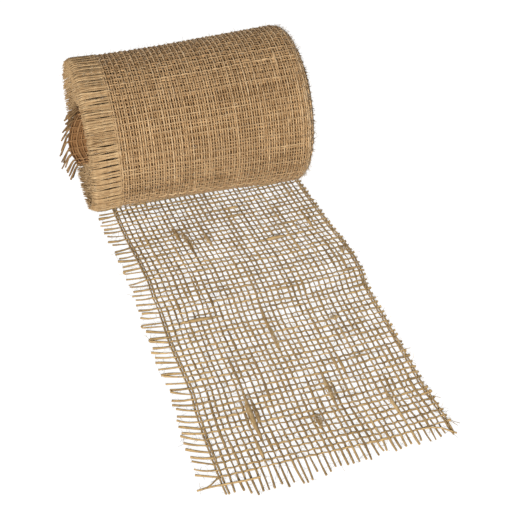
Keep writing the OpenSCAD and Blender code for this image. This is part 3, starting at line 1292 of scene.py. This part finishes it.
    def _cut(self, yarns: list[Yarn], y: float, keep_near: bool) -> list[Yarn]:
        """The part of the yarns on one side of the line across the tail at y."""
        kept = []
        for yarn in yarns:
            near = yarn.points[:, 1] >= y
            if yarn.is_weft:
                if (near.mean() > 0.5) == keep_near:
                    kept.append(yarn)
                continue
            cut = int(near.sum())
            part = slice(0, cut + 1) if keep_near else slice(cut, None)
            kept.append(Yarn(yarn.points[part], yarn.girth[part], yarn.tone[part]))
        return kept

    def build(self) -> list[bpy.types.Object]:
        """Makes the pieces of the tail, cut in two across it.

        Returns:
            The near and the far weave, and the loose fibres of each.
        """
        yarns = self._yarns()
        split = self.at.end_fold_y + self.split_ahead
        warp, weft, fuzz = self.finishes.warp, self.finishes.weft, self.finishes.fuzz
        shares = {True: self.fuzz_near_share, False: 1 - self.fuzz_near_share}
        weaves, fibres = [], []
        for name, keep_near in (("tail_near", True), ("tail_far", False)):
            part = self._cut(yarns, split, keep_near)
            weave = self.yarns.piece(f"{name}_weave", part, self.sides, warp, weft)
            weaves.append(weave)
            count = round(self.fuzz_count * shares[keep_near])
            fibres.append(self.fuzz.piece(f"{name}_fibres", weave, count, self.fuzz_l, self.seed, fuzz))
        self._dress(weaves, fibres)
        return weaves + fibres

    def _dress(self, weaves: list[bpy.types.Object], fibres: list[bpy.types.Object]) -> None:
        """Bakes the pieces' placement into their meshes and hides the imported parts that they replace."""
        kinds = ("left_selvedge", "ground_warps", "right_edge_warp", "wefts")
        folds = (
            ("tail_base", "tail_middle", self.at.fold_y),
            ("tail_middle", "tail_end", self.at.end_fold_y),
        )
        for pieces, slot in ((weaves, "jute_weft"), (fibres, "jute_fringe")):
            for piece, (first, second, y) in zip(pieces, folds):
                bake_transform(piece)
        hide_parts(*(f"{panel}_{kind}" for panel in ("base", "middle") for kind in kinds))
        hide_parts(*(f"end_{kind}" for kind in kinds), "end_loose_weft")


@dataclass(frozen=True)
class Stub:
    """How a weft of the roll ends past its right edge."""

    plies: int
    longest_share: float
    spread: float
    lift: float
    thickness: float


@dataclass
class Roll:
    """The wound ribbon: woven outer turns, deep turns as a sheet, and the yarn ends at both ends."""

    ribbon: Ribbon
    at: RollPlace
    finishes: Finishes
    yarns: YarnForm
    fuzz: FuzzForm
    outer_r: float = 51.95 * MM
    taper: float = 0.034
    turn_pitch: float = 0.8 * MM
    inner_r: float = 20.2 * MM
    woven_turns: int = 3
    turns: int = 20
    right_in: float = 5.2 * MM
    right_in_depth: float = 9 * MM
    right_round: float = 1.7 * MM
    right_round_w: float = 5 * MM
    left_rise: float = 1.4 * MM
    left_rise_w: float = 50 * MM
    fringe_l: float = 18.7 * MM
    stub_l: float = 1.8 * MM
    # Where each woven turn's warps and rows lie among those of the turn outside it
    warp_nest: tuple[float, ...] = (0, 0.5, 0)
    row_nest: tuple[float, ...] = (0, 0.78, 0.81)
    rows_lost: int = 1
    # Limits of the distance between two weft ends of the deep turns, as shares of the weft pitch
    deep_pitches: tuple[float, float] = (0.88, 1.12)
    weft_sink: float = 0.3 * MM
    dish: float = 0.2
    dish_from: float = 1.5 * MM
    dish_to: float = 9 * MM
    edge_zone: float = 6 * MM
    flare: float = 1.0 * MM
    deep_flare: float = 0.6 * MM
    # How far inside the edge a weft end starts
    root_l: float = 2 * MM
    # The plies of a left weft end: their spread, and the limits of their waist and length
    plies: int = 3
    ply_spread: float = 1.25 * MM
    ply_waists: tuple[float, float] = (0.15, 0.5)
    ply_lengths: tuple[float, float] = (0.96, 1.03)
    ply_swell: float = 0.84
    ply_wander: float = 0.3 * MM
    # Mean and spread of a ply's height, in millimetres
    ply_height_mm: tuple[float, float] = (0.1, 0.25)
    # Points along a ply, near the outside and deeper in
    near_points: int = 8
    deep_points: int = 6
    near_depth: float = 3 * MM
    end_bend: float = 0.5 * MM
    # How far a left weft end falls, in millimetres, at the outer turn and how much more deep inside
    end_fall: float = 0.4
    deep_fall: float = 2.0
    # Places from a left weft end's root to its tip, and there its flare and its thickness
    flare_places: tuple[float, ...] = (0, 0.3, 0.55, 0.84, 0.94, 1)
    flare_shares: tuple[float, ...] = (0, 0.4, 0.85, 1, 0.6, -0.3)
    girth_places: tuple[float, ...] = (0, 0.2, 0.5, 0.75, 0.9, 1)
    girth_shares: tuple[float, ...] = (1.0, 1.05, 0.95, 1.25, 1.1, 0.5)
    # The right weft ends of the woven turns and of the deep turns
    frayed_stub: Stub = Stub(plies=4, longest_share=1.7, spread=1.3 * MM, lift=0.45 * MM, thickness=0.6)
    deep_stub: Stub = Stub(plies=1, longest_share=1.25, spread=0.9 * MM, lift=0.3 * MM, thickness=1)
    stub_least: float = 0.6
    stub_tip: float = 0.6
    stub_heights_mm: tuple[float, float] = (-0.3, 0.3)
    # The warps at the deep turns' edges: distance of their points, how far they stray, over how many
    edge_warp_step: float = 4 * MM
    edge_warp_sway: float = 0.5 * MM
    edge_warp_lift: float = 0.15 * MM
    sway_spacing: float = 20
    lift_spacing: float = 2
    turn_sides: int = 5
    end_sides: int = 4
    sheet_steps: int = 60
    sheet_columns: int = 15
    fuzz_count: int = 5000
    end_fuzz_count: int = 7200
    seed: int = 23
    end_seed: int = 73
    edge_seed: int = 113

    @property
    def start_r(self) -> float:
        """Radius of the ribbon's middle surface where the outer turn starts, at the bottom."""
        return self.outer_r - self.ribbon.half_thickness

    @property
    def turn_l(self) -> float:
        """Length of one turn, counted at the outer radius."""
        return FULL_TURN * self.start_r

    def radius(self, angle: np.ndarray) -> np.ndarray:
        """Radius of the ribbon's middle surface at an angle from the bottom, counted round the back."""
        deep_start = self.start_r - self.woven_turns * self.turn_pitch
        deep_pitch = (deep_start - self.inner_r) / (self.turns - self.woven_turns)
        woven = np.minimum(angle / FULL_TURN, self.woven_turns)
        deep = np.maximum(angle / FULL_TURN - self.woven_turns, 0)
        return self.start_r - woven * self.turn_pitch - deep * deep_pitch

    def place(self, across: np.ndarray, along: np.ndarray, height: np.ndarray) -> np.ndarray:
        """Carries ribbon places onto the winding. Along counts in metres at the outer radius."""
        angle = along / self.start_r
        layer_r = self.radius(angle)
        past = np.clip((across - self.ribbon.right) / self.right_round_w + 1, 0, 1.5)
        before = np.clip((self.ribbon.left - across) / self.left_rise_w + 1, 0, 1)
        shape = self.taper * across - self.right_round * past**2 + self.left_rise * before**1.5
        r = layer_r + height + shape
        depth = np.clip((self.start_r - layer_r) / self.right_in_depth, 0, 1)
        inward = self.right_in * (1 - depth) * np.clip(across / self.ribbon.width + 0.5, 0, 1)
        y = self.at.axis_y + r * np.sin(angle)
        z = self.at.axis_z - r * np.cos(angle)
        rest_z = self.at.axis_z - layer_r - height
        return np.column_stack([self.at.middle_x + across - inward, y, np.maximum(z, rest_z)])

    def turn_rows(self, turn: int) -> np.ndarray:
        """Places of one woven turn's wefts. Each turn further in is shorter, so its rows fall behind."""
        count = round(self.turn_l / self.ribbon.weft_pitch) - self.rows_lost * turn
        return (turn + (np.arange(count + 1) + self.row_nest[turn]) / count) * self.turn_l

    def _turn_yarns(self, turn: int) -> list[Yarn]:
        """The yarns of one woven turn."""
        rng = np.random.default_rng(self.seed + turn)
        rows = self.turn_rows(turn)
        weave = Weave(self.ribbon, rows, self.place, rng, warp_offset=0.07 * MM, warp_wander=0.11 * MM)
        weave.across += self.warp_nest[turn] * self.ribbon.warp_pitch
        radius = self.ribbon.yarn_radius
        warps = Spinner(rng, radius * 0.98, tone=0.54, tone_spread=0.04, slub_swell=0.2)
        wefts = Spinner(rng, radius * 0.92, tone=0.41, unevenness=0.14, slub_swell=0.3)
        made = [warps.spin(weave.placed(weave.warp_line(j))) for j in range(weave.across.shape[1])]
        for i in range(len(rows) - 1):
            line = weave.weft_line(i) - [0, 0, self.weft_sink]
            made.append(wefts.spin(weave.placed(line), is_weft=True))
        return made

    def _ends(self, side: Side) -> list[Yarn]:
        """The weft ends along the whole winding, past one edge of the ribbon."""
        rng = np.random.default_rng(self.end_seed + side.value)
        made = []
        for along in self._end_places(rng):
            stretch = self._stretch(along)
            made += (self._left_end if side is Side.LEFT else self._right_end)(rng, along, stretch)
        return made

    def _stretch(self, along: float) -> float:
        """How much longer the outer turn is than the turn at this place."""
        return self.start_r / float(self.radius(np.array(along / self.start_r)))

    def _end_places(self, rng: np.random.Generator) -> list[float]:
        """Where wefts end along the winding: at the woven turns' own rows, then at a steady pitch."""
        places = [float(row) for turn in range(self.woven_turns) for row in self.turn_rows(turn)[:-1]]
        along = self.woven_turns * self.turn_l
        while along < self.turns * self.turn_l:
            places.append(along)
            along += self._stretch(along) * self.ribbon.weft_pitch * rng.uniform(*self.deep_pitches)
        return places

    def _left_end(self, rng: np.random.Generator, along: float, stretch: float) -> list[Yarn]:
        """One weft's long end, which comes apart into plies that spread towards its tip."""
        angle = along / self.start_r
        sunk = self.start_r - self.start_r / stretch
        depth = np.clip((sunk - self.dish_from) / (self.dish_to - self.dish_from), 0, 1)
        steps = np.linspace(0, 1, self.near_points if sunk < self.near_depth else self.deep_points)
        waist = rng.uniform(*self.ply_waists)
        opened = np.interp(steps, (0, 0.12, 0.35, 0.6, 1), (0.5, 0.5, waist, 0.5, 1))
        bend = rng.normal(0, self.end_bend)
        fall = self.end_fall + self.deep_fall * depth
        flare = self.flare + (self.deep_flare - self.flare) * depth
        flared = flare * np.interp(steps, self.flare_places, self.flare_shares)
        down = -math.sin(angle) * fall * steps**2
        sink = max(0, -math.cos(angle)) * fall * steps**2
        made = []
        for ply in range(self.plies):
            lean = (ply - (self.plies - 1) / 2) * self.ply_spread + rng.normal(0, self.ply_wander)
            reach = self.fringe_l * rng.uniform(*self.ply_lengths) * (1 - self.dish * depth)
            across = self.ribbon.left + self.root_l - (reach + self.root_l) * steps
            lie = along + stretch * (bend * steps + lean * opened + down * MM)
            height = rng.normal(*self.ply_height_mm) * MM * opened - sink * MM + flared
            spinner = Spinner(rng, self.ribbon.yarn_radius * self.ply_swell, tone=0.5, tone_spread=0.06)
            yarn = spinner.spin(self.place(across, lie, height), is_weft=True)
            yarn.girth *= np.interp(steps, self.girth_places, self.girth_shares)
            made.append(yarn)
        return made

    def _right_end(self, rng: np.random.Generator, along: float, stretch: float) -> list[Yarn]:
        """One weft's short end past the right edge, frayed into plies on the woven turns, and dark with
        painted shade of the roll's right end.
        """
        steps = np.linspace(0, 1, 4)
        stub = self.frayed_stub if along < self.woven_turns * self.turn_l else self.deep_stub
        made = []
        for _ in range(stub.plies):
            reach = self.stub_l * rng.uniform(self.stub_least, stub.longest_share)
            across = self.ribbon.right - self.root_l + (reach + self.root_l) * steps
            lie = along + stretch * rng.normal(0, stub.spread) * steps**2
            height = rng.uniform(*self.stub_heights_mm) * MM + rng.normal(0, stub.lift) * steps**2
            radius = self.ribbon.yarn_radius * stub.thickness
            # Tone 0.28, below the left ends' 0.5: painted shade of the right end, which faces away from the
            # key lamp
            spinner = Spinner(rng, radius, tone=0.28, tone_spread=0.1, unevenness=0.16)
            yarn = spinner.spin(self.place(across, lie, height), is_weft=True)
            yarn.girth *= np.linspace(1, self.stub_tip, len(steps))
            made.append(yarn)
        return made

    def _edge_warps(self) -> list[Yarn]:
        """The warps near both edges of the deep turns, which show on the roll's two ends."""
        rng = np.random.default_rng(self.edge_seed)
        spinner = Spinner(rng, self.ribbon.yarn_radius, tone=0.5)
        along = np.arange(self.woven_turns * self.turn_l, self.turns * self.turn_l, self.edge_warp_step)
        limit = self.ribbon.width / 2 - self.edge_zone
        made = []
        for u in self.ribbon.warp_places():
            if abs(u) > limit:
                across = u + wander(rng, len(along), self.sway_spacing, self.edge_warp_sway)
                height = wander(rng, len(along), self.lift_spacing, self.edge_warp_lift)
                made.append(spinner.spin(self.place(across, along, height)))
        return made

    def _deep_sheet(self) -> bpy.types.Object:
        """The deep turns as one spiral sheet, with its weave in the finish, whose darkness is painted shade
        of the layers deep in the winding.
        """
        rows = (self.turns - self.woven_turns) * self.sheet_steps + 1
        along = np.linspace(self.woven_turns * self.turn_l, self.turns * self.turn_l, rows)
        half = self.ribbon.width / 2 - self.edge_zone / 2
        across = np.linspace(-half, half, self.sheet_columns)
        return woven_sheet("deep_turns", self.place, across, along, self.finishes.deep)

    def build(self) -> list[bpy.types.Object]:
        """Makes all pieces of the wound ribbon.

        Returns:
            The pieces.
        """
        roll_warp, roll_weft = self.finishes.roll_warp, self.finishes.roll_weft
        under, fringe = self.finishes.under, self.finishes.fringe
        looks = (
            ("outer_turn", roll_warp, roll_weft),
            ("second_turn", under, under),
            ("third_turn", under, under),
        )
        turns = []
        for turn, (name, warp, weft) in enumerate(looks):
            piece = self.yarns.piece(name, self._turn_yarns(turn), self.turn_sides, warp, weft)
            turns.append(piece)
        deep = self._deep_sheet()
        both_ends = np.array([self.woven_turns, self.turns]) * FULL_TURN
        deep_length = (self.turns - self.woven_turns) * FULL_TURN * float(self.radius(both_ends).mean())
        edges = self.yarns.piece("deep_edge_warps", self._edge_warps(), self.end_sides, roll_warp, roll_weft)
        left = self.yarns.piece("roll_left_fringe", self._ends(Side.LEFT), self.end_sides, fringe, fringe)
        right = self.yarns.piece("roll_right_stubs", self._ends(Side.RIGHT), self.turn_sides, fringe, fringe)
        hairs = []
        for name, source, count, length in (
            ("roll_fibres", turns[0], self.fuzz_count, 2.0 * MM),
            ("left_end_fibres", left, self.end_fuzz_count, 2.2 * MM),
            ("right_end_fibres", right, self.end_fuzz_count, 2.4 * MM),
        ):
            hairs.append(self.fuzz.piece(name, source, count, length, self.seed, self.finishes.fuzz))
        made = [*turns, deep, edges, left, right, *hairs]
        for piece in made:
            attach(piece, "roll")
        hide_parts("wound_turns")
        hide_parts("wound_left_fringe")
        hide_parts("wound_right_stubs")
        return made


@dataclass
class InnerTurn:
    """The innermost turn, slipped out at the left, with its drooping weft ends."""

    ribbon: Ribbon
    at: RollPlace
    finishes: Finishes
    yarns: YarnForm
    fuzz: FuzzForm
    hollow_r: float = 18.2 * MM
    # Where the slipped turn's left edge lies, in millimetres, by its angle in degrees
    slip_angles: tuple[float, ...] = (26, 180, 205, 222, 245, 268, 290, 325, 354)
    slip_left: tuple[float, ...] = (-82, -80.5, -86, -89, -91.5, -91, -88.5, -85, -84)
    first_angle: float = math.radians(26)
    last_angle: float = math.radians(354)
    fringe_l: float = 12.5 * MM
    yarn_swell: float = 0.95
    end_swell: float = 1.1
    turn_sides: int = 5
    end_sides: int = 6
    end_plies: int = 2
    end_lengths: tuple[float, float] = (0.85, 1.1)
    top_length: float = 0.75
    # How steeply the weft ends hang at the top, in degrees, and how much steeper this far past it
    top_slopes: tuple[float, float] = (38, 46)
    more_slope: float = 22
    steep_after: float = 50
    end_sway: float = 0.8 * MM
    sheet_columns: int = 12
    sheet_rows: int = 40
    seed: int = 71

    def place(self, across: np.ndarray, along: np.ndarray, height: np.ndarray) -> np.ndarray:
        """Carries ribbon places onto the hollow's wall, from near the bottom round the back."""
        angle = self.first_angle + along / self.hollow_r
        r = self.hollow_r + height
        left = np.interp(np.degrees(angle), self.slip_angles, self.slip_left) * MM
        x = self.at.middle_x + across + left - self.ribbon.left
        return np.column_stack([x, self.at.axis_y + r * np.sin(angle), self.at.axis_z - r * np.cos(angle)])

    def build(self) -> list[bpy.types.Object]:
        """Makes the inner turn's weave, its weft ends and the thin dark sheet inside it, whose darkness is
        painted shade of the hollow.

        Returns:
            The three pieces.
        """
        rng = np.random.default_rng(self.seed)
        length = (self.last_angle - self.first_angle) * self.hollow_r
        rows = np.arange(0.5, length / self.ribbon.weft_pitch - 0.2) * self.ribbon.weft_pitch
        weave = Weave(self.ribbon, rows, self.place, rng)
        radius = self.ribbon.yarn_radius
        # These tones, like the inner finish, are kept dark as painted shade of the hollow
        warps = Spinner(rng, radius * self.yarn_swell, tone=0.4)
        wefts = Spinner(rng, radius * self.yarn_swell, tone=0.45)
        ends_spinner = Spinner(rng, radius * self.end_swell, tone=0.12, tone_spread=0.08)
        yarns = [warps.spin(weave.placed(weave.warp_line(j))) for j in range(weave.across.shape[1])]
        ends = []
        for i in range(len(rows)):
            line = weave.weft_line(i)
            yarns.append(wefts.spin(weave.placed(line), is_weft=True))
            angle = self.first_angle + rows[i] / self.hollow_r
            root = weave.placed(line[:1])[0]
            for _ in range(self.end_plies):
                ends.append(ends_spinner.spin(self._droop(rng, root, angle), is_weft=True))
        # The inner finish is darker and redder than the roll's jute: painted shade of the hollow
        inner, loose = self.finishes.inner, self.finishes.fringe
        turn = self.yarns.piece("inner_turn_weave", yarns, self.turn_sides, inner, inner)
        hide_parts("inner_turn")
        fringe = self.yarns.piece("inner_turn_ends", ends, self.end_sides, loose, loose)
        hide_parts("inner_turn_fringe")
        half = self.ribbon.width / 2
        across = np.linspace(-half, half, self.sheet_columns)
        along = np.linspace(0, length, self.sheet_rows)
        # The wall is a dark sheet behind the weave's gaps: painted shade of the hollow
        wall = woven_sheet("inner_turn_wall", self.wall_place, across, along, self.finishes.hollow_shade)
        for piece, slot in ((turn, "jute_inner"), (fringe, "jute_fringe"), (wall, "jute_inner")):
            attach(piece, "roll")
        return [turn, fringe, wall]

    def wall_place(self, across: np.ndarray, along: np.ndarray, height: np.ndarray) -> np.ndarray:
        """Carries ribbon places just inside the weave."""
        return self.place(across, along, height - self.ribbon.half_thickness)

    def _droop(self, rng: np.random.Generator, root: np.ndarray, angle: float) -> np.ndarray:
        """A weft end that leaves the inner turn's left edge and hangs down, least steeply near the top."""
        steps = np.linspace(0, 1, 8)
        past_top = np.clip((math.degrees(angle) - 180) / self.steep_after, 0, 1)
        share = self.top_length + (1 - self.top_length) * past_top
        reach = self.fringe_l * rng.uniform(*self.end_lengths) * share
        slope = math.radians(rng.uniform(*self.top_slopes) + self.more_slope * past_top)
        bent = np.clip(steps * 3, 0, 1) * slope
        run = np.concatenate([[0], np.cumsum(np.cos(bent[1:]))]) * reach / (len(steps) - 1)
        drop = np.concatenate([[0], np.cumsum(np.sin(bent[1:]))]) * reach / (len(steps) - 1)
        sway = rng.normal(0, self.end_sway) * steps
        return np.column_stack([root[0] - run, root[1] + sway, root[2] - drop])


@dataclass(frozen=True)
class Lamp:
    """One square soft lamp, in metres and watts."""

    name: str
    place: Point
    size: float
    watts: float
    colour: Colour = (1.0, 1.0, 1.0)

    def put(self, target: Point) -> None:
        """Adds the lamp to the scene, facing a target."""
        data = bpy.data.lights.new(self.name, "AREA")
        data.shape = "SQUARE"
        data.size = self.size
        data.energy = self.watts
        data.color = self.colour
        made = bpy.data.objects.new(self.name, data)
        made.location = self.place
        facing = Vector(target) - Vector(self.place)
        made.rotation_euler = facing.to_track_quat("-Z", "Y").to_euler()
        bpy.context.scene.collection.objects.link(made)


@dataclass
class Studio:
    """The white floor, the soft light and the camera."""

    eye: Point = (-0.14684, -0.55424, 0.48552)
    heading: float = math.radians(16.774)
    pitch: float = math.radians(39.061)
    lens_mm: float = 82.92
    sensor_mm: float = 36
    floor_half: float = 6.0
    floor_seen: float = 0.86
    floor_white: float = 1.12
    floor_pale: float = 0.9
    floor_bounce: float = 0.03
    ambient: float = 0.11
    lit_point: Point = (0.0, 0.08, 0.05)
    lamps: tuple[Lamp, ...] = (
        Lamp("key_lamp", (-0.69, -1.7, 0.74), 0.8, 71, (1.0, 0.985, 0.96)),
        Lamp("right_lamp", (1.5, 1.0, 0.36), 0.7, 11),
        Lamp("left_lamp", (-1.5, 1.0, 0.36), 0.7, 9),
        Lamp("back_lamp", (0.2, 2.05, 0.3), 0.6, 27),
    )

    def camera(self) -> None:
        """Puts the camera where the photograph was taken from."""
        data = bpy.data.cameras.new("camera")
        data.sensor_width = self.sensor_mm
        data.lens = self.lens_mm
        made = bpy.data.objects.new("camera", data)
        made.location = self.eye
        made.rotation_euler = (math.pi / 2 - self.pitch, 0, -self.heading)
        bpy.context.scene.collection.objects.link(made)
        bpy.context.scene.camera = made

    def seen_directly(self, tree: bpy.types.NodeTree) -> bpy.types.NodeSocket:
        """A value of 1 for the camera's own view, for mirror rays and for rays through glass."""
        path = tree.nodes.new("ShaderNodeLightPath")
        rays = ("Is Camera Ray", "Is Glossy Ray", "Is Transmission Ray")
        total = path.outputs[rays[0]]
        for ray in rays[1:]:
            most = tree.nodes.new("ShaderNodeMath")
            most.operation = "MAXIMUM"
            tree.links.new(total, most.inputs[0])
            tree.links.new(path.outputs[ray], most.inputs[1])
            total = most.outputs[0]
        return total

    def world(self) -> None:
        """An even soft light all round, which the camera sees as white."""
        world = bpy.data.worlds.new("world")
        world.use_nodes = True
        bpy.context.scene.world = world
        tree = world.node_tree
        soft = tree.nodes["Background"]
        soft.inputs["Color"].default_value = (1, 1, 1, 1)
        soft.inputs["Strength"].default_value = self.ambient
        white = tree.nodes.new("ShaderNodeBackground")
        white.inputs["Color"].default_value = (1, 1, 1, 1)
        mix = tree.nodes.new("ShaderNodeMixShader")
        tree.links.new(self.seen_directly(tree), mix.inputs["Fac"])
        tree.links.new(soft.outputs["Background"], mix.inputs[1])
        tree.links.new(white.outputs["Background"], mix.inputs[2])
        tree.links.new(mix.outputs["Shader"], tree.nodes["World Output"].inputs["Surface"])

    def floor(self) -> None:
        """A wide white floor that keeps a faint shadow of the object."""
        half = self.floor_half
        mesh = bpy.data.meshes.new("floor")
        corners = [(-half, -half, 0), (half, -half, 0), (half, half, 0), (-half, half, 0)]
        mesh.from_pydata(corners, [], [(0, 1, 2, 3)])
        made = bpy.data.objects.new("floor", mesh)
        bpy.context.scene.collection.objects.link(made)
        material = bpy.data.materials.new("white_floor")
        material.use_nodes = True
        tree = material.node_tree
        tree.nodes.remove(tree.nodes["Principled BSDF"])
        matt = tree.nodes.new("ShaderNodeBsdfDiffuse")
        glow = tree.nodes.new("ShaderNodeEmission")
        glow.inputs["Strength"].default_value = self.floor_white
        mix = tree.nodes.new("ShaderNodeMixShader")
        maths, seen = Maths(tree), self.seen_directly(tree)
        tree.links.new(maths("MULTIPLY", seen, self.floor_seen), mix.inputs["Fac"])
        pale = maths("MULTIPLY_ADD", seen, self.floor_pale - self.floor_bounce, self.floor_bounce)
        tree.links.new(pale, matt.inputs["Color"])
        tree.links.new(matt.outputs["BSDF"], mix.inputs[1])
        tree.links.new(glow.outputs["Emission"], mix.inputs[2])
        tree.links.new(mix.outputs["Shader"], tree.nodes["Material Output"].inputs["Surface"])
        mesh.materials.append(material)

    def build(self) -> None:
        """Sets up the camera, the soft light from the front, both sides and behind, and the floor."""
        bpy.context.scene.view_settings.view_transform = "Standard"
        self.camera()
        for lamp in self.lamps:
            lamp.put(self.lit_point)
        self.world()
        self.floor()


def main() -> None:
    """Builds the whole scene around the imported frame."""
    logging.basicConfig(level=logging.INFO)
    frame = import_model()
    Studio().build()
    at = RollPlace.from_frame(frame)
    ribbon = Ribbon()
    finishes = Finishes.build()
    yarns, fuzz = YarnForm(), FuzzForm()
    pieces = []
    for part in (Tail, Roll, InnerTurn):
        pieces += part(ribbon, at, finishes, yarns, fuzz).build()
    for piece in pieces:
        LOG.info("%s: %d faces", piece.name, len(piece.data.polygons))


if __name__ == "__main__":
    main()
